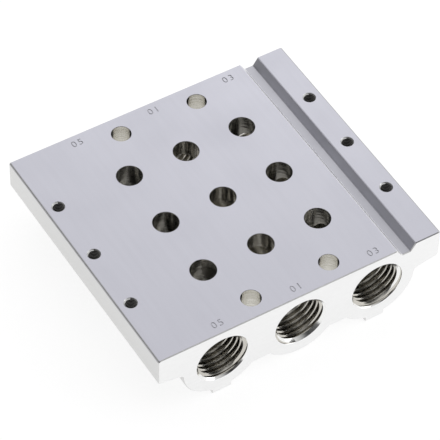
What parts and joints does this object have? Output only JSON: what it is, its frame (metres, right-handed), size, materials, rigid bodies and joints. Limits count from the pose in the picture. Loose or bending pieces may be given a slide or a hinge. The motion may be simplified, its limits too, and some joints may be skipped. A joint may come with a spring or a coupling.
{
  "type": "valve manifold",
  "caption": "Extruded aluminium valve manifold with threaded supply and exhaust galleries, valve ports and screw holes in its flat top face.",
  "frame": {"origin": "middle of the footprint, level with the underside of the two feet", "axes": "+X across the galleries towards the groove, +Y along the galleries, +Z out of the top face that carries the valves"},
  "size_m": [0.0724, 0.0662, 0.02],
  "materials": {
    "body": "satin"
  },
  "bodies": {
    "root": {"manifold_body": "body"}
  },
  "joints": []
}
